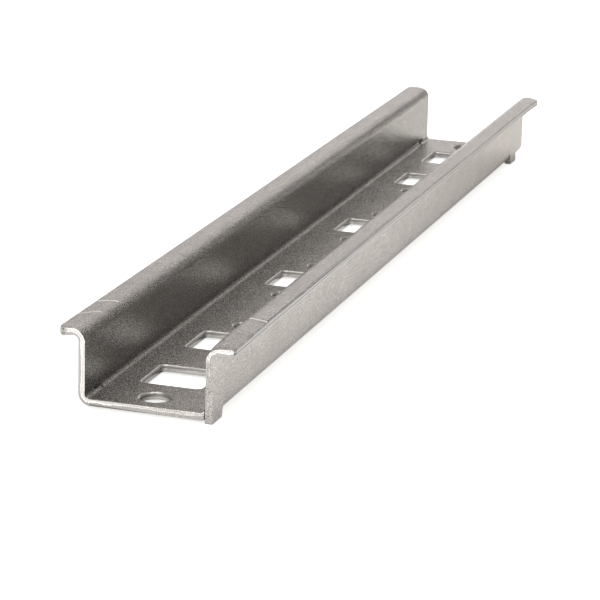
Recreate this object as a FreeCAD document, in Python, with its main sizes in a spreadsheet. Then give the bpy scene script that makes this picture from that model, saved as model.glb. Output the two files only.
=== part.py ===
import FreeCAD, Part
import Sketcher
import math
import os
import re

# Top-hat mounting rail folded from one sheet of zinc-coated steel.
# X runs across the channel, Y along the rail and Z up; the origin is the bottom centre, and the
# near end is at -Y. The channel opens upwards, its two lips turn outwards, and a centred row of
# square windows and round holes runs along its floor. It stands on two short feet near each end:
# there a slit frees the wall from the floor, and the wall runs straight down past it.

# Driving sizes in millimetres
SIZES = {
    "rail_length": 240,
    "lip_span": 35,
    "wall_span": 27,
    "rail_height": 15,
    "sheet": 1.5,
    "bend_radius": 1,
    "lip_corner": 1.6,
    "lip_edge": 0.2,
    "window_side": 12,
    "window_corner": 1,
    "window_pitch": 50,
    "end_window_inset": 20,
    "hole_diameter": 4.3,
    "hole_from_window": 12.5,
    "screw_hole_diameter": 5.8,
    "screw_hole_inset": 6,
    "least_web": 3,
    "foot_drop": 0.5,
    "foot_gap": 0.15,
    "foot_taper": 1,
    "slit_hole": 1,
    "near_foot_width": 6.2,
    "far_foot_inset": 6.5,
    "far_foot_width": 6,
    "left_foot_inset": 4.6,
    "left_foot_width": 3.8,
}

# Which point of a line or an arc a constraint takes, and the sketch's own origin and upright axis
START, END, CENTRE = range(1, 4)
ORIGIN = -START
UPRIGHT_AXIS = -END

doc = FreeCAD.newDocument("mounting_rail")
sheet = doc.addObject("Spreadsheet::Sheet", "Sizes")
for row, (alias, size) in enumerate(SIZES.items(), start=1):
    sheet.set(f"A{row}", alias)
    sheet.set(f"B{row}", str(size))
    sheet.setAlias(f"B{row}", alias)
doc.recompute()


def sized(text):
    """Point every size named in an expression at its cell."""
    return re.sub(r"\b(" + "|".join(SIZES) + r")\b", r"Sizes.\1", text)


def number(text):
    """The present value of an expression of sizes."""
    return float(sheet.evalExpression(sized(text)))


# Levels and places that several features share
FLOOR_UNDER = "foot_drop"
FLOOR_TOP = "(foot_drop + sheet)"
LIP_TOP = "(foot_drop + rail_height)"
LIP_UNDER = "(foot_drop + rail_height - sheet)"
WALL_OUT = "(wall_span / 2)"
WALL_IN = "(wall_span / 2 - sheet)"
LIP_OUT = "(lip_span / 2)"
RAIL_END = "(rail_length / 2)"
BEND_START = "(foot_drop + sheet + bend_radius)"
OUTER_BEND = "bend_radius + sheet"
WINDOW_COUNT = ("(floor((rail_length - 2 * end_window_inset - 2 * window_side - 2 * least_web)"
                " / window_pitch) + 1)")
FIRST_WINDOW = f"(-({WINDOW_COUNT} - 1) / 2 * window_pitch)"


# Sketch helpers
def origin_part(body, role):
    """A plane or axis of a body's own origin."""
    return next(item for item in body.Origin.OriginFeatures if item.Role == role)


def new_sketch(body, name, role):
    sketch = body.newObject("Sketcher::SketchObject", name)
    sketch.AttachmentSupport = [(origin_part(body, role), "")]
    sketch.MapMode = "FlatFace"
    return sketch


def bind(sketch, kind, items, name, text):
    """Add a dimension and tie it to the sizes."""
    index = sketch.addConstraint(Sketcher.Constraint(kind, *items, number(text)))
    sketch.renameConstraint(index, name)
    sketch.setExpression(f"Constraints.{name}", sized(text))


def square_outline(sketch, corners):
    """A closed outline of level and upright lines through corners given as expressions."""
    points = [FreeCAD.Vector(number(across), number(up), 0) for across, up in corners]
    count = len(points)
    for index in range(count):
        line = sketch.addGeometry(Part.LineSegment(points[index], points[(index + 1) % count]), False)
        level = corners[index][1] == corners[(index + 1) % count][1]
        sketch.addConstraint(Sketcher.Constraint("Horizontal" if level else "Vertical", line))
    for index in range(count):
        sketch.addConstraint(Sketcher.Constraint("Coincident", index, END, (index + 1) % count, START))
        across, up = corners[index]
        level = up == corners[(index + 1) % count][1]
        kind = "DistanceY" if level else "DistanceX"
        bind(sketch, kind, (ORIGIN, START, index, START), f"corner{index}", up if level else across)


def rounded_square(sketch, middle, side, corner):
    """A square with round corners, centred across the rail at a place along it."""
    half = f"{side} / 2"
    reach = number(half)
    radius = number(corner)
    place = number(middle)
    inner = reach - radius
    turns = [(1, 1), (-1, 1), (-1, -1), (1, -1)]
    for quarter, (right, far) in enumerate(turns):
        centre = FreeCAD.Vector(right * inner, place + far * inner, 0)
        circle = Part.Circle(centre, FreeCAD.Vector(0, 0, 1), radius)
        begin = quarter * math.pi / 2
        sketch.addGeometry(Part.ArcOfCircle(circle, begin, begin + math.pi / 2), False)
    ends = [((inner, reach), (-inner, reach)), ((-reach, inner), (-reach, -inner)),
            ((-inner, -reach), (inner, -reach)), ((reach, -inner), (reach, inner))]
    for (x_start, y_start), (x_end, y_end) in ends:
        start = FreeCAD.Vector(x_start, place + y_start, 0)
        end = FreeCAD.Vector(x_end, place + y_end, 0)
        sketch.addGeometry(Part.LineSegment(start, end), False)
    first_line = len(turns)
    for quarter in range(first_line):
        line = first_line + quarter
        following = (quarter + 1) % first_line
        sketch.addConstraint(Sketcher.Constraint("Tangent", quarter, END, line, START))
        sketch.addConstraint(Sketcher.Constraint("Tangent", line, END, following, START))
        kind = "Horizontal" if quarter % 2 == 0 else "Vertical"
        sketch.addConstraint(Sketcher.Constraint(kind, line))
        if quarter:
            sketch.addConstraint(Sketcher.Constraint("Equal", 0, quarter))
    bind(sketch, "Radius", (0,), "corner", corner)
    far_line, left_line, near_line, right_line = range(first_line, first_line + 4)
    bind(sketch, "DistanceY", (ORIGIN, START, far_line, START), "far", f"{middle} + {half}")
    bind(sketch, "DistanceX", (ORIGIN, START, left_line, START), "left", f"-{half}")
    bind(sketch, "DistanceY", (ORIGIN, START, near_line, START), "near", f"{middle} - {half}")
    bind(sketch, "DistanceX", (ORIGIN, START, right_line, START), "right", half)


def outside_corner(sketch, side, end):
    """What lies outside the round corner of one lip: an arc closed by four lines beyond the sheet."""
    first = len(sketch.Geometry)
    across = side * number(f"{LIP_OUT} - lip_corner")
    along = end * number(f"{RAIL_END} - lip_corner")
    radius = number("lip_corner")
    circle = Part.Circle(FreeCAD.Vector(across, along, 0), FreeCAD.Vector(0, 0, 1), radius)
    begin = {(1, 1): 0, (-1, 1): 1, (-1, -1): 2, (1, -1): 3}[side, end] * math.pi / 2
    sketch.addGeometry(Part.ArcOfCircle(circle, begin, begin + math.pi / 2), False)
    beyond_side = across + 2 * side * radius
    beyond_end = along + 2 * end * radius
    on_side = FreeCAD.Vector(across + side * radius, along, 0)
    on_end = FreeCAD.Vector(across, along + end * radius, 0)
    points = [on_end, FreeCAD.Vector(across, beyond_end, 0), FreeCAD.Vector(beyond_side, beyond_end, 0),
              FreeCAD.Vector(beyond_side, along, 0), on_side]
    for start, finish in zip(points, points[1:]):
        sketch.addGeometry(Part.LineSegment(start, finish), False)
    up, over, down, back = range(first + 1, first + 5)
    arc_ends = (END, START) if side == end else (START, END)
    sketch.addConstraint(Sketcher.Constraint("Coincident", first, arc_ends[0], up, START))
    sketch.addConstraint(Sketcher.Constraint("Coincident", first, arc_ends[1], back, END))
    for line, following in ((up, over), (over, down), (down, back)):
        sketch.addConstraint(Sketcher.Constraint("Coincident", line, END, following, START))
    for line, kind in ((up, "Vertical"), (over, "Horizontal"), (down, "Vertical"), (back, "Horizontal")):
        sketch.addConstraint(Sketcher.Constraint(kind, line))
    x_sign = "" if side > 0 else "-"
    y_sign = "" if end > 0 else "-"
    name = f"{'right' if side > 0 else 'left'}_{'far' if end > 0 else 'near'}"
    bind(sketch, "Radius", (first,), f"{name}_radius", "lip_corner")
    centre_x = f"{x_sign}({LIP_OUT} - lip_corner)"
    centre_y = f"{y_sign}({RAIL_END} - lip_corner)"
    bind(sketch, "DistanceX", (ORIGIN, START, first, CENTRE), f"{name}_centre_x", centre_x)
    bind(sketch, "DistanceY", (ORIGIN, START, first, CENTRE), f"{name}_centre_y", centre_y)
    bind(sketch, "DistanceX", (ORIGIN, START, up, START), f"{name}_up", centre_x)
    bind(sketch, "DistanceY", (ORIGIN, START, back, END), f"{name}_back", centre_y)
    beyond_y = f"{y_sign}({RAIL_END} + lip_corner)"
    beyond_x = f"{x_sign}({LIP_OUT} + lip_corner)"
    bind(sketch, "DistanceY", (ORIGIN, START, over, START), f"{name}_over", beyond_y)
    bind(sketch, "DistanceX", (ORIGIN, START, down, START), f"{name}_down", beyond_x)


def round_holes(sketch, places, diameter):
    """Circles on the centre line of the floor."""
    for index, place in enumerate(places):
        centre = FreeCAD.Vector(0, number(place), 0)
        circle = Part.Circle(centre, FreeCAD.Vector(0, 0, 1), number(diameter) / 2)
        sketch.addGeometry(circle, False)
        sketch.addConstraint(Sketcher.Constraint("PointOnObject", index, CENTRE, UPRIGHT_AXIS))
        bind(sketch, "Diameter", (index,), f"diameter{index}", diameter)
        bind(sketch, "DistanceY", (ORIGIN, START, index, CENTRE), f"place{index}", place)


# Feature helpers
def near(one, other):
    return abs(one - other) < 1e-4


def cut_up(body, name, sketch, height=None):
    """Cut upwards from the bottom plane, through everything or to a height."""
    pocket = body.newObject("PartDesign::Pocket", name)
    pocket.Profile = sketch
    pocket.Reversed = True
    if height is None:
        pocket.Type = "ThroughAll"
    else:
        pocket.Type = "Length"
        pocket.setExpression("Length", sized(height))
    body.Tip = pocket
    return pocket


def copy_along(body, name, feature, spacing, count):
    """Repeat a cut along the rail."""
    pattern = body.newObject("PartDesign::LinearPattern", name)
    pattern.Originals = [feature]
    pattern.Direction = (origin_part(body, "Y_Axis"), [""])
    pattern.Mode = "Spacing"
    pattern.setExpression("Offset", sized(spacing))
    pattern.setExpression("Occurrences", sized(count))
    body.Tip = pattern


def mirror_ends(body, name, features):
    """Repeat features at the other end of the rail."""
    mirrored = body.newObject("PartDesign::Mirrored", name)
    mirrored.Originals = features
    mirrored.MirrorPlane = (origin_part(body, "XZ_Plane"), [""])
    body.Tip = mirrored


def long_edges(feature, across, level):
    """Names of the two edges that run along the rail at a corner of the section."""
    x_place = number(across)
    z_place = number(level)
    names = []
    for index, edge in enumerate(feature.Shape.Edges, start=1):
        box = edge.BoundBox
        at_corner = near(abs(box.Center.x), x_place) and near(box.Center.z, z_place)
        if at_corner and box.YLength > box.XLength + box.ZLength:
            names.append(f"Edge{index}")
    return names


def round_off(body, name, feature, names, radius):
    fillet = body.newObject("PartDesign::Fillet", name)
    fillet.Base = (feature, names)
    fillet.setExpression("Radius", sized(radius))
    body.Tip = fillet
    doc.recompute()
    return fillet


# The folded section, drawn with square corners and run along the rail
rail = doc.addObject("PartDesign::Body", "rail")
rail.Label = "rail"
section = new_sketch(rail, "Section", "XZ_Plane")
right_side = [(WALL_OUT, FLOOR_UNDER), (WALL_OUT, LIP_UNDER), (LIP_OUT, LIP_UNDER),
              (LIP_OUT, LIP_TOP), (WALL_IN, LIP_TOP), (WALL_IN, FLOOR_TOP)]
left_side = [(f"-{across}", level) for across, level in reversed(right_side)]
square_outline(section, right_side + left_side)
length_of_rail = rail.newObject("PartDesign::Pad", "RailLength")
length_of_rail.Profile = section
length_of_rail.Midplane = True
length_of_rail.setExpression("Length", sized("rail_length"))
rail.Tip = length_of_rail
doc.recompute()

# The four bends, each with its inside and its outside radius
inner_edges = (long_edges(length_of_rail, WALL_IN, FLOOR_TOP)
               + long_edges(length_of_rail, WALL_OUT, LIP_UNDER))
inner_bends = round_off(rail, "InnerBends", length_of_rail, inner_edges, "bend_radius")
outer_edges = (long_edges(inner_bends, WALL_OUT, FLOOR_UNDER)
               + long_edges(inner_bends, WALL_IN, LIP_TOP))
outer_bends = round_off(rail, "OuterBends", inner_bends, outer_edges, OUTER_BEND)

# The rolled edges of the lips, and the round corners that the ends are cropped with
rim_edges = long_edges(outer_bends, LIP_OUT, LIP_TOP) + long_edges(outer_bends, LIP_OUT, LIP_UNDER)
round_off(rail, "LipEdges", outer_bends, rim_edges, "lip_edge")
crop_sketch = new_sketch(rail, "CropSketch", "XY_Plane")
for side in (1, -1):
    for end in (1, -1):
        outside_corner(crop_sketch, side, end)
cut_up(rail, "CroppedCorners", crop_sketch)

# The row of square windows, and one more window near each end
row_sketch = new_sketch(rail, "WindowSketch", "XY_Plane")
rounded_square(row_sketch, FIRST_WINDOW, "window_side", "window_corner")
first_window = cut_up(rail, "FirstWindow", row_sketch)
copy_along(rail, "WindowRow", first_window, "window_pitch", WINDOW_COUNT)
end_sketch = new_sketch(rail, "EndWindowSketch", "XY_Plane")
rounded_square(end_sketch, f"(end_window_inset - {RAIL_END})", "window_side", "window_corner")
near_window = cut_up(rail, "NearWindow", end_sketch)
mirror_ends(rail, "EndWindows", [near_window])

# Pairs of round holes between the windows of the row, and a screw hole at each end
pair_sketch = new_sketch(rail, "HolePairSketch", "XY_Plane")
pair_places = [f"({FIRST_WINDOW} + hole_from_window)",
               f"({FIRST_WINDOW} + window_pitch - hole_from_window)"]
round_holes(pair_sketch, pair_places, "hole_diameter")
first_pair = cut_up(rail, "FirstHolePair", pair_sketch)
copy_along(rail, "HolePairs", first_pair, "window_pitch", f"({WINDOW_COUNT} - 1)")
screw_sketch = new_sketch(rail, "ScrewHoleSketch", "XY_Plane")
round_holes(screw_sketch, [f"(screw_hole_inset - {RAIL_END})"], "screw_hole_diameter")
near_screw_hole = cut_up(rail, "NearScrewHole", screw_sketch)
mirror_ends(rail, "ScrewHoles", [near_screw_hole])


# The feet
def foot(name, side, end, inset, width):
    """A foot of the right (1) or left (-1) wall, at the near (-1) or far (1) end of the rail."""
    outer_place = f"({end} * ({RAIL_END} - {inset}))"
    root_place = f"({end} * ({RAIL_END} - {inset} - {width}))"
    tip_place = f"({end} * ({RAIL_END} - {inset} - {width} + foot_taper))"
    slit_inner = f"({side} * ({WALL_IN} - foot_gap))"
    slit_outer = f"({side} * ({WALL_OUT} + foot_gap))"
    slit_sketch = new_sketch(rail, f"{name}SlitSketch", "XY_Plane")
    square_outline(slit_sketch, [(slit_inner, outer_place), (slit_outer, outer_place),
                                 (slit_outer, root_place), (slit_inner, root_place)])
    slit = cut_up(rail, f"{name}Slit", slit_sketch, BEND_START)

    # The small hole that stops the slit reaches a little further into the bend
    hole_sketch = new_sketch(rail, f"{name}SlitHoleSketch", "XY_Plane")
    hole_x = f"({side} * ({WALL_IN} - foot_gap - slit_hole / 4))"
    hole_y = f"({end} * ({RAIL_END} - {inset} - {width} + slit_hole / 2))"
    hole_middle = FreeCAD.Vector(number(hole_x), number(hole_y), 0)
    circle = Part.Circle(hole_middle, FreeCAD.Vector(0, 0, 1), number("slit_hole") / 2)
    hole_sketch.addGeometry(circle, False)
    bind(hole_sketch, "Diameter", (0,), "diameter", "slit_hole")
    bind(hole_sketch, "DistanceX", (ORIGIN, START, 0, CENTRE), "across", hole_x)
    bind(hole_sketch, "DistanceY", (ORIGIN, START, 0, CENTRE), "along", hole_y)
    slit_hole = cut_up(rail, f"{name}SlitHole", hole_sketch, BEND_START)

    # The wall's straight run down, drawn on its outer face
    tab_sketch = new_sketch(rail, f"{name}Sketch", "YZ_Plane")
    tab_sketch.setExpression(".AttachmentOffset.Base.z", sized(f"{side} * {WALL_OUT}"))
    corners = [(outer_place, "0"), (tip_place, "0"), (root_place, BEND_START), (outer_place, BEND_START)]
    points = [FreeCAD.Vector(number(along), number(up), 0) for along, up in corners]
    for index, point in enumerate(points):
        tab_sketch.addGeometry(Part.LineSegment(point, points[(index + 1) % len(points)]), False)
    for index in range(len(points)):
        following = (index + 1) % len(points)
        tab_sketch.addConstraint(Sketcher.Constraint("Coincident", index, END, following, START))
        along, up = corners[index]
        bind(tab_sketch, "DistanceX", (ORIGIN, START, index, START), f"along{index}", along)
        bind(tab_sketch, "DistanceY", (ORIGIN, START, index, START), f"up{index}", up)
    tab = rail.newObject("PartDesign::Pad", name)
    tab.Profile = tab_sketch
    tab.Reversed = side > 0
    tab.setExpression("Length", sized("sheet"))
    rail.Tip = tab
    return [slit, slit_hole, tab]


near_left_foot = foot("NearLeftFoot", -1, -1, "left_foot_inset", "left_foot_width")
mirror_ends(rail, "FarLeftFoot", near_left_foot)
foot("NearRightFoot", 1, -1, "0", "near_foot_width")
foot("FarRightFoot", 1, 1, "far_foot_inset", "far_foot_width")
doc.recompute()

# Every feature has to stand before anything is written
for item in doc.Objects:
    if "Invalid" in item.State or "Error" in item.State:
        raise RuntimeError(f"{item.Label} failed: {item.State}")
if rail.Shape.isNull() or not rail.Shape.isValid() or len(rail.Shape.Solids) != 1:
    raise RuntimeError("the rail is not one valid solid")

os.makedirs("parts", exist_ok=True)
rail.Shape.exportStep(os.path.join("parts", f"{rail.Label}.step"))
box = rail.Shape.BoundBox
extent = f"{box.XLength:.2f} x {box.YLength:.2f} x {box.ZLength:.2f} mm"
print(f"rail: volume {rail.Shape.Volume:.1f} mm3, box {extent}")
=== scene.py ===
import math
import bmesh
import bpy
from mathutils import Matrix, Vector


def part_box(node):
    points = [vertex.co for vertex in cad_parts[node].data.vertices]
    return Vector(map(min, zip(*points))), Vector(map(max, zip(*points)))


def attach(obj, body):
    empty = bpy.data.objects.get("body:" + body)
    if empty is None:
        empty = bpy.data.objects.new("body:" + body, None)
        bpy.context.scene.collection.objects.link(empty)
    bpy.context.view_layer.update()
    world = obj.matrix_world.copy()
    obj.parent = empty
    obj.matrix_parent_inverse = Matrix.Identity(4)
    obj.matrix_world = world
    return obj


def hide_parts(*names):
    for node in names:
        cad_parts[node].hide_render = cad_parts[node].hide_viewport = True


# A zinc-coated top-hat rail on a white ground. One mesh made from the frame's own takes the place of
# the rail. X runs across the channel, Y along the rail with the near end at -Y, and Z up.

MM = 0.001
CLOSE = 0.01 * MM
WELD_DISTANCE = 0.002 * MM
CUT_DISTANCE = 0.001 * MM
FLAT_TURN = math.radians(0.5)
ALONG = Vector((0, 1, 0))
UP = Vector((0, 0, 1))

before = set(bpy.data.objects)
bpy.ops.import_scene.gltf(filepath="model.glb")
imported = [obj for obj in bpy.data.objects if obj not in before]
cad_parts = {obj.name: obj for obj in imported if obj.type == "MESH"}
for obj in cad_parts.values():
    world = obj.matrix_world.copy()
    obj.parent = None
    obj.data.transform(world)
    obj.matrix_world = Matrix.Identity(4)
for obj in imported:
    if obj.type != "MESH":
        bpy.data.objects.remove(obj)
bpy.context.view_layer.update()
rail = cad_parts["rail"]
low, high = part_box("rail")
scene = bpy.context.scene
scene.view_settings.view_transform = "Standard"

# The section of the folded sheet, from the frame's own levels
SHEET = 1.5 * MM
HALF_LENGTH = high.y
LIP_OUT = high.x
LIP_TOP = high.z
LIP_UNDER = LIP_TOP - SHEET
FLOOR_UNDER = low.z + 0.5 * MM
FLOOR_TOP = FLOOR_UNDER + SHEET
WALL_OUT = 13.5 * MM
WALL_IN = WALL_OUT - SHEET
BEND = 1.0 * MM

# Limits across the rail: the openings lie within the first, the right side's slits past the
# second, and the right wall and lip past the third
OPENING_REACH = 6.5 * MM
SLIT_SIDE = 11.0 * MM
RIGHT_SIDE = WALL_IN - 0.1 * MM

# How far edges are rounded, from what turn an edge is, and from what turn one is shaded as sharp
END_ROLL = 0.6 * MM
END_CRISP = 0.1 * MM
RIM_ROLL = 0.65 * MM
RIM_CRISP = 0.1 * MM
BEVEL_STEPS = 4
ROUNDED_TURN = math.radians(35)
SHARP_TURN = math.radians(40)

# How far a lip's corner reaches in from its side and from the rail's end, and its cut rim
CORNER_REACH = 1.7 * MM
LIP_RIM = 0.3 * MM

# The cut edge of a lip steps in above its middle. The step fades between two distances from the near
# end, in millimetres, until the last share of it is lost
EDGE_REACH = 0.45 * MM
EDGE_STEP = 0.12 * MM
EDGE_STEP_BELOW = 0.45 * MM
EDGE_STEP_HEIGHT = 0.12 * MM
EDGE_STEP_EASE = 0.05 * MM
EDGE_STEP_FADE = (110, 170)
EDGE_STEP_LOST = 0.8

# Marks pressed across the lips: each runs between two places in millimetres, the second value from the
# near end, and has its own brightness of painted highlight. They lie on the faces that look up at least
# this much
FACING_UP = 0.3
MARK_HALF_WIDTH = 0.26 * MM
MARK_OVERRUN = 0.3 * MM
MARK_DEPTH = 0.03 * MM
# Painted highlight: the near-white colour that makes the marks show as bright lines
MARK_HIGHLIGHT_COLOUR = (0.95, 0.93, 0.9, 1)
MARKS = [((14.1, 10.8), (18.0, 10.6), 0.5),
         ((13.9, 19.6), (18.2, 19.45), 1.0),
         ((-17.5, 9.6), (-13.7, 12.8), 0.7),
         ((-17.5, 18.9), (-13.4, 20.8), 1.0),
         ((13.9, 221.2), (17.1, 220.0), 0.45),
         ((14.7, 230.7), (15.7, 229.9), 0.45)]

# How far the right lip's outer edge and its bend have sunk, in millimetres by distance from the
# near end. They sink from one level of the wall, fully above a second, and more and more like the
# outer edge from SINK_INNER out
LIP_SINK = [(0, 0.66), (10.1, 0.63), (11.2, 0.47), (19.0, 0.47), (20.1, 0.31), (38, 0.31), (58, 0),
            (215, 0), (232, 0.12), (237, 0.28), (240, 0.55)]
CREST_SINK = [(0, 0.85), (0.7, 0.62), (1.6, 0.42), (3, 0.27), (6, 0.15), (10.1, 0.08), (11.2, 0),
              (232, 0), (240, 0.06)]
SINK_START = 10.0 * MM
SINK_FULL = 13.0 * MM
SINK_INNER = 12.6 * MM

# The burr that hangs from the left lip's near corner, fully deep over a share of its length
BURR_INNER = -15.4 * MM
BURR_WIDTH = 1.2 * MM
BURR_LENGTH = 1.7 * MM
BURR_FULL = 0.3
BURR_DEPTH = 0.45 * MM
BURR_LEVELS = (LIP_UNDER - 0.1 * MM, LIP_UNDER + 0.8 * MM)

# The plating's colours, the shares of its speckle, clouds and streaks, and the noise of each
ZINC_DARK = (0.37, 0.35, 0.331, 1)
ZINC_LIGHT = (0.57, 0.539, 0.51, 1)
SCRATCH_COLOUR = (0.85, 0.82, 0.79, 1)
SPECKLE_SHARE = 0.6
CLOUD_SHARE = 0.3
STREAK_SHARE = 0.1
SPECKLE_SCALE = 4300
CLOUD_SCALE = 150
STREAK_SCALE = 1100
STREAK_STRETCH = (1, 0.08, 1)
SCRATCH_SCALE = 2600
SCRATCH_STRETCH = (1, 16, 1)
SCRATCH_TURN = (0.22, 0, -0.2)
PATCH_SCALE = 60
ROUGHNESS = (0.13, 0.19)
GRAIN_HEIGHT = 0.11 * MM

# Bands of the sheared ends, the punched openings and the lips' trimmed edges: share of the thickness
# and brightness. They are partly the cut steel's own zones and partly painted highlight and shade lines
# of the rounded and stepped edges
SHEAR_BANDS = [(0.0, 0.85), (0.1, 0.8), (0.15, 0.5), (0.28, 0.62), (0.32, 0.42), (0.37, 0.85),
               (0.45, 0.85), (0.49, 0.27), (0.56, 0.37), (0.95, 0.36)]
PUNCH_BANDS = [(0.0, 0.55), (0.1, 0.65), (0.2, 0.7), (0.5, 0.75), (0.55, 0.5), (0.62, 0.8),
               (0.7, 0.6), (0.95, 0.55)]
TRIM_BANDS = [(0.0, 0.42), (0.1, 0.36), (0.15, 0.1), (0.29, 0.1), (0.34, 0.31), (0.5, 0.31),
              (0.54, 0.09), (0.7, 0.09), (0.75, 0.28), (0.95, 0.32)]

# How the bands waver and tear: scales of the noise, and reach in sheet thicknesses
WAVER_SCALE = 260
WAVER_ACROSS = 3.5
WAVER_REACH = 0.15
TEAR_SCALE = 2000
TEAR_REACH = 0.07
TRIM_TEAR = 0.4

# Painted light: further from the near end than these places the openings' walls turn to one even,
# lighter colour
LIT_OPENING_START = low.y + 50 * MM
LIT_OPENING_FULL = low.y + 90 * MM
LIT_OPENING_SHARE = 0.7
LIT_OPENING_STEEL = (0.6, 0.585, 0.56, 1)

# Where the sheared bands fade: on the left lip's near tip, up the right wall and along the floor
LEFT_TIP = (-16.2 * MM, -15.2 * MM)
LEFT_TIP_LENGTH = 2 * MM
LEFT_TIP_LEAST = 0.2
RIGHT_WALL_TOP = (12.3 * MM, 13.3 * MM)
RIGHT_WALL_LOSS = 0.65
FLOOR_EDGE = (-9 * MM, 6 * MM)
FLOOR_EDGE_LOSS = 0.45

# Painted shade, a darker colour: on the walls inside the channel, on the openings' walls near the near
# end and further along, and on the left lip's near tip
PAINTED_SHADE_COLOUR = (0.16, 0.165, 0.15, 1)
PAINTED_RECESS_SHADE = 0.62
RECESS_RISE = (FLOOR_TOP + 0.1 * MM, FLOOR_TOP + 0.8 * MM)
RECESS_FALL = (LIP_UNDER - SHEET, LIP_UNDER)
NEAR_OPENING_SHADE = 0.8
FAR_OPENING_SHADE = 0.2
TIP_SHADE = 0.75
TIP_REACH = 1.6 * MM

# The white ground: its own colour, what the camera sees, and what the metal mirrors from its near
# part and from past the rail's far end
GROUND_REACH = 4.0
GROUND_COLOUR = (0.9, 0.9, 0.89, 1)
GROUND_ROUGHNESS = 0.9
GROUND_GLOSS = 0.1
GROUND_SEEN = (1, 1, 0.985, 1)
GROUND_MIRRORED_NEAR = (1, 0.98, 0.965, 1)
GROUND_MIRRORED_FAR = (0.65, 0.615, 0.585, 1)
GROUND_GLOW = 0.8
MIRRORED_GLOW = 1.3
MIRRORED_FADE = (HALF_LENGTH / 5, HALF_LENGTH)
CONTACT_REACH = 22 * MM

# The lamps' colour, and the world's faint light
LAMP_COLOUR = (1, 0.955, 0.945)
WORLD_COLOUR = (0.92, 1, 0.9, 1)
WORLD_GLOW = 0.07

# The photograph's view: angles in degrees, the camera's place in millimetres with the second value
# from the near end, and the lens in millimetres
CAMERA_AZIMUTH = 17.53
CAMERA_ELEVATION = 15.95
CAMERA_ROLL = 1.48
CAMERA_PLACE = (182.78, -483.99, 170.98)
CAMERA_LENS = 174.79
CAMERA_SENSOR = 36


# Small calculations
def clamp(value, lowest=0.0, highest=1.0):
    return max(lowest, min(highest, value))


def along_table(table, place):
    """The value at a place in a list of (place, value) pairs, on straight lines between them."""
    for (start, first), (stop, last) in zip(table, table[1:]):
        if place <= stop:
            return first + (last - first) * clamp((place - start) / (stop - start))
    return table[-1][1]


def direction(azimuth, elevation):
    """The way from the rail to a place; azimuth 0 is the -Y side, 90 the +X side."""
    turn = math.radians(azimuth)
    rise = math.radians(elevation)
    return Vector((math.sin(turn) * math.cos(rise), -math.cos(turn) * math.cos(rise), math.sin(rise)))


def from_near_end(place):
    """How many millimetres a point lies from the rail's near end."""
    return (place.y - low.y) / MM


# The rail's sheet
def welded_copy():
    """The frame's rail as one skin, with each flat face in as few pieces as its holes allow."""
    skin = bmesh.new()
    skin.from_mesh(rail.data)
    bmesh.ops.remove_doubles(skin, verts=skin.verts, dist=WELD_DISTANCE)
    bmesh.ops.dissolve_limit(skin, angle_limit=FLAT_TURN, verts=skin.verts, edges=skin.edges,
                             use_dissolve_boundaries=False, delimit=set())
    return skin


def is_end_face(face):
    """True for the sheared faces of the two ends, round the lips' corners too."""
    place = face.calc_center_median()
    upright = abs(face.normal.z) < 0.2
    at_end = abs(place.y) > HALF_LENGTH - CLOSE and abs(face.normal.y) > 0.9
    by_corner = abs(place.y) > HALF_LENGTH - CORNER_REACH and abs(place.x) > LIP_OUT - CORNER_REACH
    at_corner = by_corner and place.z > LIP_UNDER and abs(face.normal.y) > 0.05
    return upright and (at_end or at_corner)


def rounding(edge):
    """The width of the rounding that an edge gets."""
    if len(edge.link_faces) != 2 or edge.calc_face_angle(0) < ROUNDED_TURN:
        return 0
    one, other = edge.link_faces
    middle = (edge.verts[0].co + edge.verts[1].co) / 2
    if middle.x > SLIT_SIDE and middle.z < FLOOR_TOP + BEND:
        return 0
    if is_end_face(one) != is_end_face(other):
        side = other if is_end_face(one) else one
        rolled = clamp(-(side.normal.x + side.normal.z)) if middle.x < WALL_IN else 0
        return END_CRISP + (END_ROLL - END_CRISP) * rolled
    if abs(middle.x) < OPENING_REACH:
        if abs(middle.z - FLOOR_TOP) < CLOSE:
            return RIM_ROLL
        if abs(middle.z - FLOOR_UNDER) < CLOSE:
            return RIM_CRISP
    return 0


def rounded(skin, name):
    """A mesh object of the skin with its edges rounded."""
    mesh = bpy.data.meshes.new(name)
    widths = [rounding(edge) for edge in skin.edges]
    skin.to_mesh(mesh)
    skin.free()
    weights = mesh.attributes.new("bevel_weight_edge", "FLOAT", "EDGE")
    weights.data.foreach_set("value", [width / END_ROLL for width in widths])
    piece = bpy.data.objects.new(name, mesh)
    scene.collection.objects.link(piece)
    bevel = piece.modifiers.new("edges", "BEVEL")
    bevel.limit_method = "WEIGHT"
    bevel.width = END_ROLL
    bevel.segments = BEVEL_STEPS
    bevel.use_clamp_overlap = False
    bevel.loop_slide = False
    bake_modifiers(piece)
    return piece


def bake_modifiers(piece):
    """Give a piece the mesh that its modifiers make, without them."""
    shaped = piece.evaluated_get(bpy.context.evaluated_depsgraph_get())
    mesh = bpy.data.meshes.new_from_object(shaped)
    piece.modifiers.clear()
    old = piece.data
    piece.data = mesh
    bpy.data.meshes.remove(old)
    mesh.name = piece.name


def cut_along(skin, place, normal, wanted):
    """A line of new edges where a plane meets the wanted faces."""
    faces = [face for face in skin.faces if wanted(face.calc_center_median())]
    edges = {edge for face in faces for edge in face.edges}
    corners = {corner for face in faces for corner in face.verts}
    bmesh.ops.bisect_plane(skin, geom=[*faces, *edges, *corners], dist=CUT_DISTANCE,
                           plane_co=place, plane_no=normal)


def cut_across(skin, station, wanted):
    """New edges square to the rail, some millimetres from its near end."""
    cut_along(skin, Vector((0, low.y + station * MM, 0)), ALONG, wanted)


def keep_in_box(skin):
    """Bring every point back into the CAD box."""
    for corner in skin.verts:
        for axis in range(3):
            corner.co[axis] = clamp(corner.co[axis], low[axis], high[axis])


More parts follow.
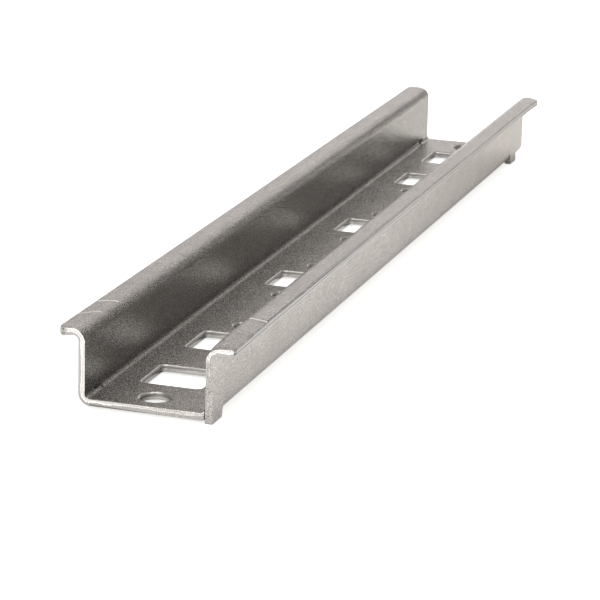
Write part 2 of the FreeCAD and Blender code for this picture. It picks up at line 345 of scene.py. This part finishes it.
def keep_section_places(skin):
    """Note where each point lies in the straight section, before the lip sinks."""
    kept = skin.verts.layers.float_vector.new("section_place")
    for corner in skin.verts:
        corner[kept] = corner.co


def on_right_side(place):
    return place.x > RIGHT_SIDE


def on_right_top(place):
    return on_right_side(place) and place.z > SINK_START


def sink_right_lip(skin):
    """The right lip hangs a little near the rail's ends, in steps at its marks."""
    cut_along(skin, UP * SINK_START, UP, on_right_side)
    rail_ends = {LIP_SINK[0][0], LIP_SINK[-1][0]}
    for station in sorted({place for place, _ in LIP_SINK + CREST_SINK} - rail_ends):
        cut_across(skin, station, on_right_top)
    for corner in skin.verts:
        if on_right_top(corner.co):
            out = clamp((corner.co.x - SINK_INNER) / (LIP_OUT - SINK_INNER))
            rise = clamp((corner.co.z - SINK_START) / (SINK_FULL - SINK_START))
            bow = out * out if corner.co.y > 0 else out
            crest = along_table(CREST_SINK, from_near_end(corner.co)) * MM
            edge = along_table(LIP_SINK, from_near_end(corner.co)) * MM
            corner.co.z -= (crest + (edge - crest) * bow) * rise


def on_right_lip(place):
    return place.x > WALL_IN and place.z > LIP_UNDER - SHEET


def on_left_lip(place):
    return place.x < -WALL_IN and place.z > LIP_UNDER - SHEET


def mark_lines():
    """Each mark's start, direction, length, direction across it, lip and brightness."""
    for (x_one, y_one), (x_two, y_two), bright in MARKS:
        start = Vector((x_one, y_one, 0)) * MM + Vector((0, low.y, 0))
        reach = Vector((x_two - x_one, y_two - y_one, 0)) * MM
        run = reach.normalized()
        lip = on_right_lip if x_one > 0 else on_left_lip
        yield start, run, reach.length, Vector((-run.y, run.x, 0)), lip, bright


def press_marks(skin):
    """Shallow grooves across the lips."""
    for start, run, length, across, lip, _ in mark_lines():
        for shift in (-1, 0, 1):
            cut_along(skin, start + across * shift * MARK_HALF_WIDTH, across, lip)
        for corner in skin.verts:
            from_start = corner.co - start
            beside = abs(from_start.dot(across)) > CLOSE
            beyond = not -MARK_OVERRUN < from_start.dot(run) < length + MARK_OVERRUN
            if lip(corner.co) and corner.normal.z > FACING_UP and not beside and not beyond:
                corner.co.z -= MARK_DEPTH


def on_lip_edge(place):
    return abs(place.x) > LIP_OUT - EDGE_REACH


def step_lip_edges(skin):
    """The step in the sheared edge of each lip."""
    for below in (EDGE_STEP_BELOW, EDGE_STEP_BELOW + EDGE_STEP_HEIGHT):
        cut_along(skin, UP * (LIP_TOP - below), UP, on_lip_edge)
    for station in EDGE_STEP_FADE:
        cut_across(skin, station, on_lip_edge)
    fade_start, fade_end = EDGE_STEP_FADE
    for corner in skin.verts:
        out = abs(corner.co.x) - (LIP_OUT - EDGE_REACH)
        if out > 0 and corner.co.z > LIP_TOP - EDGE_STEP_BELOW - CLOSE:
            faded = clamp((from_near_end(corner.co) - fade_start) / (fade_end - fade_start))
            inward = EDGE_STEP * clamp(out / EDGE_STEP_EASE) * (1 - EDGE_STEP_LOST * faded)
            corner.co.x -= math.copysign(inward, corner.co.x)


def hang_burr(skin):
    """The near corner of the left lip, pressed down by the shear."""
    lowest, highest = BURR_LEVELS
    for corner in skin.verts:
        from_end = corner.co.y - low.y
        on_corner = corner.co.x < BURR_INNER and from_end < BURR_LENGTH
        if on_corner and lowest < corner.co.z < highest:
            out = clamp((BURR_INNER - corner.co.x) / BURR_WIDTH)
            corner.co.z -= BURR_DEPTH * out * clamp(1 + BURR_FULL - from_end / BURR_LENGTH)


def bare_metal(face):
    """How far a face shows the bands of the sheared ends."""
    place = face.calc_center_median()
    on_foot = abs(place.x) > WALL_IN and place.z < FLOOR_TOP
    at_end = abs(place.y) >= HALF_LENGTH - END_ROLL
    return 1.0 if abs(face.normal.y) >= 0.25 and (at_end or on_foot) else 0.0


def in_opening(face):
    """True for the walls and the rolled rims of the windows and holes."""
    place = face.calc_center_median()
    in_sheet = FLOOR_UNDER < place.z < FLOOR_TOP
    return abs(place.x) < OPENING_REACH and in_sheet and abs(face.normal.z) < 0.98


def cut_metal(face):
    """How far a face shows the bands of a punched or trimmed edge."""
    on_lip_rim = abs(face.calc_center_median().x) > LIP_OUT - LIP_RIM and abs(face.normal.z) < 0.4
    return 1.0 if on_lip_rim or in_opening(face) else 0.0


def painted_shade_share(face):
    """How much painted shade the openings' walls get, most on the sides along the rail, and the left
    near tip.
    """
    place = face.calc_center_median()
    if abs(face.normal.z) > 0.5:
        return 0.0
    if in_opening(face):
        dullness = NEAR_OPENING_SHADE if place.y < LIT_OPENING_FULL else FAR_OPENING_SHADE
        return dullness * face.normal.x ** 2
    at_tip = place.x < -LIP_OUT + TIP_REACH and place.y < low.y + CORNER_REACH
    return TIP_SHADE if at_tip else 0.0


def mark_highlight_share(face):
    """How far a face shows a mark's painted highlight."""
    place = face.calc_center_median()
    for start, run, length, across, lip, bright in mark_lines():
        from_start = place - start
        beside = abs(from_start.dot(across)) > MARK_HALF_WIDTH
        beyond = not 0 < from_start.dot(run) < length
        if lip(place) and face.normal.z > FACING_UP and not beside and not beyond:
            return bright
    return 0.0


def note_metal(skin):
    """Keep for the material how far each face is bare, cut, in painted shade or under a mark's painted
    highlight.
    """
    measures = {"bare": bare_metal, "cut": cut_metal, "shade": painted_shade_share, "mark": mark_highlight_share}
    for name, measure in measures.items():
        layer = skin.faces.layers.float.new(name)
        for face in skin.faces:
            face[layer] = measure(face)


def make_sheet(material):
    """The rail's one piece, in place of the frame's node."""
    piece = rounded(welded_copy(), "rail_sheet")
    skin = bmesh.new()
    skin.from_mesh(piece.data)
    keep_in_box(skin)
    keep_section_places(skin)
    sink_right_lip(skin)
    press_marks(skin)
    step_lip_edges(skin)
    hang_burr(skin)
    skin.normal_update()
    note_metal(skin)
    for face in skin.faces:
        face.smooth = True
    for edge in skin.edges:
        edge.smooth = edge.calc_face_angle(0) < SHARP_TURN
    skin.to_mesh(piece.data)
    skin.free()
    weighted = piece.modifiers.new("normals", "WEIGHTED_NORMAL")
    weighted.keep_sharp = True
    bake_modifiers(piece)
    piece.data.materials.clear()
    piece.data.materials.append(material)
    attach(piece, "root")
    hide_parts("rail")


# Node helpers
def add_node(tree, kind, inputs=None, **settings):
    """A node with its settings and its inputs, each a socket or a plain value."""
    node = tree.nodes.new(kind)
    for name, value in settings.items():
        setattr(node, name, value)
    for name, value in (inputs or {}).items():
        if isinstance(value, bpy.types.NodeSocket):
            tree.links.new(value, node.inputs[name])
        else:
            node.inputs[name].default_value = value
    return node


def math_node(tree, operation, first, second=None):
    inputs = {0: first}
    if second is not None:
        inputs[1] = second
    return add_node(tree, "ShaderNodeMath", inputs, operation=operation).outputs[0]


def product(tree, first, *others):
    for other in others:
        first = math_node(tree, "MULTIPLY", first, other)
    return first


def greatest(tree, first, *others):
    for other in others:
        first = math_node(tree, "MAXIMUM", first, other)
    return first


def noise(tree, place, scale, detail, roughness=0.5):
    inputs = {"Vector": place, "Scale": scale, "Detail": detail, "Roughness": roughness}
    return add_node(tree, "ShaderNodeTexNoise", inputs).outputs["Fac"]


def span(tree, value, from_low, from_high, to_low, to_high):
    """A value that goes from one number to another over a range of the given value."""
    inputs = {"Value": value, "From Min": from_low, "From Max": from_high,
              "To Min": to_low, "To Max": to_high}
    return add_node(tree, "ShaderNodeMapRange", inputs).outputs["Result"]


def blend(tree, share, first, second):
    """A mix of two colours, each a socket or a plain colour."""
    inputs = {0: share, 6: first, 7: second}
    return add_node(tree, "ShaderNodeMix", inputs, data_type="RGBA").outputs[2]


def colour_ramp(tree, share, stops):
    """A colour that goes through a list of (share, colour) pairs."""
    node = add_node(tree, "ShaderNodeValToRGB", {"Fac": share})
    elements = node.color_ramp.elements
    while len(elements) < len(stops):
        elements.new(1.0)
    for element, (position, colour) in zip(elements, stops):
        element.position = position
        element.color = colour
    return node.outputs["Color"]


def face_value(tree, name):
    """A number that the mesh keeps for each of its faces."""
    return add_node(tree, "ShaderNodeAttribute", attribute_name=name).outputs["Fac"]


def section_place(tree):
    """Where a point lies in the straight section: the sockets X, Y and Z."""
    kept = add_node(tree, "ShaderNodeAttribute", attribute_name="section_place").outputs["Vector"]
    return add_node(tree, "ShaderNodeSeparateXYZ", {0: kept}).outputs


# The sheet's material
def from_bend(tree, across, up):
    """The distance from a bend's centre, or from the straight sheet's line beside it."""
    inputs = {"X": greatest(tree, across, 0.0), "Y": greatest(tree, up, 0.0)}
    reach = add_node(tree, "ShaderNodeCombineXYZ", inputs).outputs[0]
    return add_node(tree, "ShaderNodeVectorMath", {0: reach}, operation="LENGTH").outputs["Value"]


def sheet_depth(tree, parts):
    """How deep a point of the section lies below the channel's surface, in sheet thicknesses."""
    across = math_node(tree, "ABSOLUTE", parts["X"])
    past_floor = math_node(tree, "SUBTRACT", across, WALL_IN - BEND)
    below_wall = math_node(tree, "SUBTRACT", FLOOR_TOP + BEND, parts["Z"])
    lower = math_node(tree, "SUBTRACT", from_bend(tree, past_floor, below_wall), BEND)
    short_of_lip = math_node(tree, "SUBTRACT", WALL_OUT + BEND, across)
    above_wall = math_node(tree, "SUBTRACT", parts["Z"], LIP_UNDER - BEND)
    upper = math_node(tree, "SUBTRACT", BEND + SHEET, from_bend(tree, short_of_lip, above_wall))
    is_upper = math_node(tree, "GREATER_THAN", parts["Z"], LIP_TOP / 2)
    depth = add_node(tree, "ShaderNodeMix", {0: is_upper, 2: lower, 3: upper}).outputs[0]
    return math_node(tree, "DIVIDE", depth, SHEET)


def wavering_depth(tree, parts, depth):
    """The sheet's depth, drawn out of line by streaks that follow the section."""
    inputs = {"X": product(tree, depth, WAVER_ACROSS),
              "Y": product(tree, parts["X"], WAVER_SCALE),
              "Z": product(tree, parts["Z"], WAVER_SCALE)}
    along = add_node(tree, "ShaderNodeCombineXYZ", inputs).outputs[0]
    streaks = noise(tree, along, 1.0, 1.0)
    return math_node(tree, "ADD", depth, span(tree, streaks, 0.2, 0.8, -WAVER_REACH, WAVER_REACH))


def banded_steel(tree, depth, bands):
    """Cut steel whose brightness goes by how deep a point lies in the sheet."""
    stops = [(position, (grey, grey * 0.975, grey * 0.95, 1)) for position, grey in bands]
    return colour_ramp(tree, depth, stops)


def sheared_share(tree, parts):
    """How far the ends show their bands: less on the left tip, the right wall and the floor's right."""
    past_tip = math_node(tree, "GREATER_THAN", parts["Y"], low.y + LEFT_TIP_LENGTH)
    left_tip = greatest(tree, span(tree, parts["X"], *LEFT_TIP, LEFT_TIP_LEAST, 1.0), past_tip)
    on_right = math_node(tree, "GREATER_THAN", parts["X"], RIGHT_SIDE)
    wall = product(tree, on_right, span(tree, parts["Z"], *RIGHT_WALL_TOP, RIGHT_WALL_LOSS, 0.0))
    on_floor = math_node(tree, "LESS_THAN", parts["Z"], RECESS_RISE[0])
    floor = product(tree, on_floor, span(tree, parts["X"], *FLOOR_EDGE, 0.0, FLOOR_EDGE_LOSS))
    kept = math_node(tree, "SUBTRACT", 1.0, greatest(tree, wall, floor))
    return product(tree, face_value(tree, "bare"), left_tip, kept)


def recess_shade_share(tree, parts):
    """How far a point lies on the channel's side of a wall, where the colour is darkened as painted
    shade.
    """
    across = math_node(tree, "ABSOLUTE", parts["X"])
    outward = span(tree, across, WALL_IN - BEND, WALL_IN, 0.0, 1.0)
    inward = math_node(tree, "LESS_THAN", across, WALL_IN + SHEET / 2)
    rising = span(tree, parts["Z"], *RECESS_RISE, 0.0, 1.0)
    falling = span(tree, parts["Z"], *RECESS_FALL, 1.0, 0.0)
    return product(tree, outward, inward, rising, falling, PAINTED_RECESS_SHADE)


def scratches(tree, place):
    """Fine light scratches along the rail, in patches."""
    inputs = {"Vector": place, "Rotation": SCRATCH_TURN, "Scale": SCRATCH_STRETCH}
    turned = add_node(tree, "ShaderNodeMapping", inputs, vector_type="TEXTURE").outputs[0]
    lines = span(tree, noise(tree, turned, SCRATCH_SCALE, 1.0), 0.6, 0.72, 0.0, 1.0)
    patches = span(tree, noise(tree, place, PATCH_SCALE, 1.0), 0.45, 0.6, 0.0, 0.5)
    return product(tree, lines, patches)


def plating(tree, place, speckle, cloud):
    """The plating's colour: speckle, soft clouds, faint streaks along the rail, and scratches."""
    inputs = {"Vector": place, "Scale": STREAK_STRETCH}
    stretched = add_node(tree, "ShaderNodeMapping", inputs).outputs[0]
    streak = product(tree, noise(tree, stretched, STREAK_SCALE, 2.0), STREAK_SHARE)
    mixed = math_node(tree, "ADD", product(tree, speckle, SPECKLE_SHARE),
                      product(tree, cloud, CLOUD_SHARE))
    mixed = math_node(tree, "ADD", mixed, streak)
    zinc = colour_ramp(tree, mixed, [(0.38, ZINC_DARK), (0.62, ZINC_LIGHT)])
    return blend(tree, scratches(tree, place), zinc, SCRATCH_COLOUR)


def cut_steel(tree, parts, on_lip, depth, trim_depth):
    """The colour of the openings' walls, painted lighter further along, and of the lips' trimmed edges.
    """
    lit_further = span(tree, parts["Y"], LIT_OPENING_START, LIT_OPENING_FULL, 0.0, LIT_OPENING_SHARE)
    # Painted light: the openings' walls turn lighter further from the near end
    punched = blend(tree, lit_further, banded_steel(tree, depth, PUNCH_BANDS), LIT_OPENING_STEEL)
    return blend(tree, on_lip, punched, banded_steel(tree, trim_depth, TRIM_BANDS))


def zinc_material():
    """Zinc-coated sheet: finely speckled warm grey metal with soft clouds, and bare steel where cut."""
    material = bpy.data.materials.new("zinc_plated_steel")
    material.use_nodes = True
    tree = material.node_tree
    shader = tree.nodes["Principled BSDF"]
    place = add_node(tree, "ShaderNodeTexCoord").outputs["Object"]
    parts = section_place(tree)
    speckle = noise(tree, place, SPECKLE_SCALE, 0.0)
    cloud = noise(tree, place, CLOUD_SCALE, 3.0, 0.55)

    # How far a point is cut, in painted recess shade, sheared or marked, and how deep it lies in the
    # sheet
    cut = face_value(tree, "cut")
    recess_shade = recess_shade_share(tree, parts)
    sheared = sheared_share(tree, parts)
    mark = face_value(tree, "mark")
    on_lip = math_node(tree, "GREATER_THAN", math_node(tree, "ABSOLUTE", parts["X"]), WALL_OUT)
    torn = span(tree, noise(tree, place, TEAR_SCALE, 2.0, 0.6), 0.25, 0.75, -TEAR_REACH, TEAR_REACH)
    even_depth = sheet_depth(tree, parts)
    depth = math_node(tree, "ADD", wavering_depth(tree, parts, even_depth), torn)
    trim_depth = math_node(tree, "ADD", even_depth, product(tree, torn, TRIM_TEAR))

    # Painted shade: the channel's inner walls get a darker colour
    colour = blend(tree, recess_shade, plating(tree, place, speckle, cloud), PAINTED_SHADE_COLOUR)
    colour = blend(tree, cut, colour, cut_steel(tree, parts, on_lip, depth, trim_depth))
    # Painted shade on the openings' walls and the left lip's near tip
    colour = blend(tree, face_value(tree, "shade"), colour, PAINTED_SHADE_COLOUR)
    # The sheared ends' bands: the cut's own zones, with painted highlight and shade lines
    colour = blend(tree, sheared, colour, banded_steel(tree, depth, SHEAR_BANDS))
    # Painted highlight on the pressed marks
    colour = blend(tree, mark, colour, MARK_HIGHLIGHT_COLOUR)
    tree.links.new(colour, shader.inputs["Base Color"])

    # Smeared metal has little grain, and the openings' walls are less metallic
    smeared = greatest(tree, sheared, cut, mark)
    in_floor = product(tree, cut, math_node(tree, "SUBTRACT", 1.0, on_lip))
    metal = greatest(tree, span(tree, speckle, 0.5, 0.7, 1.0, 0.4), smeared)
    metal = product(tree, metal, span(tree, in_floor, 0.0, 1.0, 1.0, 0.45))
    tree.links.new(metal, shader.inputs["Metallic"])
    tree.links.new(span(tree, cloud, 0.3, 0.7, *ROUGHNESS), shader.inputs["Roughness"])
    height = math_node(tree, "ADD", speckle, product(tree, cloud, 1.2))
    grain = span(tree, greatest(tree, smeared, recess_shade), 0.0, 1.0, 1.0, 0.3)
    inputs = {"Height": height, "Strength": grain, "Distance": GRAIN_HEIGHT}
    bump = add_node(tree, "ShaderNodeBump", inputs)
    tree.links.new(bump.outputs["Normal"], shader.inputs["Normal"])
    return material


# Stage
def ground_material():
    """A white sweep that takes the rail's soft shadow and shows white to the camera and the metal."""
    material = bpy.data.materials.new("floor")
    material.use_nodes = True
    tree = material.node_tree
    shader = tree.nodes["Principled BSDF"]
    shader.inputs["Base Color"].default_value = GROUND_COLOUR
    shader.inputs["Roughness"].default_value = GROUND_ROUGHNESS
    shader.inputs["Specular IOR Level"].default_value = GROUND_GLOSS
    path = add_node(tree, "ShaderNodeLightPath").outputs
    open_sky = add_node(tree, "ShaderNodeAmbientOcclusion", {"Distance": CONTACT_REACH}, samples=4)
    mirrored = greatest(tree, path["Is Glossy Ray"], path["Is Transmission Ray"])
    mirrored = product(tree, mirrored, open_sky.outputs["AO"], MIRRORED_GLOW)
    place = add_node(tree, "ShaderNodeTexCoord").outputs["Object"]
    along = add_node(tree, "ShaderNodeSeparateXYZ", {0: place}).outputs["Y"]
    beyond = span(tree, along, *MIRRORED_FADE, 0.0, 1.0)
    reflected = blend(tree, beyond, GROUND_MIRRORED_NEAR, GROUND_MIRRORED_FAR)
    tint = blend(tree, path["Is Camera Ray"], reflected, GROUND_SEEN)
    glow = product(tree, greatest(tree, path["Is Camera Ray"], mirrored), GROUND_GLOW)
    white = add_node(tree, "ShaderNodeEmission", {"Color": tint, "Strength": glow})
    both = add_node(tree, "ShaderNodeAddShader", {0: shader.outputs[0], 1: white.outputs[0]})
    tree.links.new(both.outputs[0], tree.nodes["Material Output"].inputs["Surface"])
    return material


def make_ground():
    corners = [(-1, -1, 0), (1, -1, 0), (1, 1, 0), (-1, 1, 0)]
    mesh = bpy.data.meshes.new("floor")
    mesh.from_pydata([Vector(corner) * GROUND_REACH for corner in corners], [], [(0, 1, 2, 3)])
    ground = bpy.data.objects.new("floor", mesh)
    ground.location.z = low.z
    ground.data.materials.append(ground_material())
    scene.collection.objects.link(ground)


def softbox(name, azimuth, elevation, distance, width, height, glow):
    """A lamp aimed at the rail from a distance in metres; glow 1 is white."""
    towards = direction(azimuth, elevation)
    data = bpy.data.lights.new(name, "AREA")
    data.shape = "RECTANGLE"
    data.size = width
    data.size_y = height
    data.energy = glow * math.pi * width * height
    data.color = LAMP_COLOUR
    lamp = bpy.data.objects.new(name, data)
    lamp.location = towards * distance
    lamp.rotation_mode = "QUATERNION"
    lamp.rotation_quaternion = towards.to_track_quat("Z", "Y")
    scene.collection.objects.link(lamp)


def light_scene():
    world = bpy.data.worlds.new("studio")
    world.use_nodes = True
    background = world.node_tree.nodes["Background"]
    background.inputs["Color"].default_value = WORLD_COLOUR
    background.inputs["Strength"].default_value = WORLD_GLOW
    scene.world = world
    softbox("back_left", -148, 24, 1.8, 2.2, 1.5, 0.7)
    softbox("back_low", -170, 6, 1.7, 0.8, 0.35, 0.4)
    softbox("back", 176, 22, 1.8, 0.5, 1.2, 0.68)
    softbox("back_right", 156, 8, 1.8, 0.5, 0.45, 0.4)
    softbox("overhead", 20, 80, 0.9, 0.8, 0.8, 2.2)
    softbox("front", -20, 40, 1.6, 1.4, 1.5, 0.5)


# Camera
def make_camera():
    """The photograph's view: a long lens looking down along the rail from its near right end."""
    back = direction(CAMERA_AZIMUTH, CAMERA_ELEVATION)
    azimuth = math.radians(CAMERA_AZIMUTH)
    roll = math.radians(CAMERA_ROLL)
    level_right = Vector((math.cos(azimuth), math.sin(azimuth), 0))
    level_up = back.cross(level_right)
    right = level_right * math.cos(roll) + level_up * math.sin(roll)
    up = level_up * math.cos(roll) - level_right * math.sin(roll)
    across, beyond_end, height = CAMERA_PLACE
    place = Vector((across, low.y / MM + beyond_end, height)) * MM
    camera_data = bpy.data.cameras.new("camera")
    camera_data.sensor_width = CAMERA_SENSOR
    camera_data.lens = CAMERA_LENS
    camera_data.clip_start = 0.05
    camera_data.clip_end = 50
    camera = bpy.data.objects.new("camera", camera_data)
    turn = Matrix((right, up, back)).transposed().to_4x4()
    camera.matrix_world = Matrix.Translation(place) @ turn
    scene.collection.objects.link(camera)
    scene.camera = camera


make_camera()
make_sheet(zinc_material())
make_ground()
light_scene()
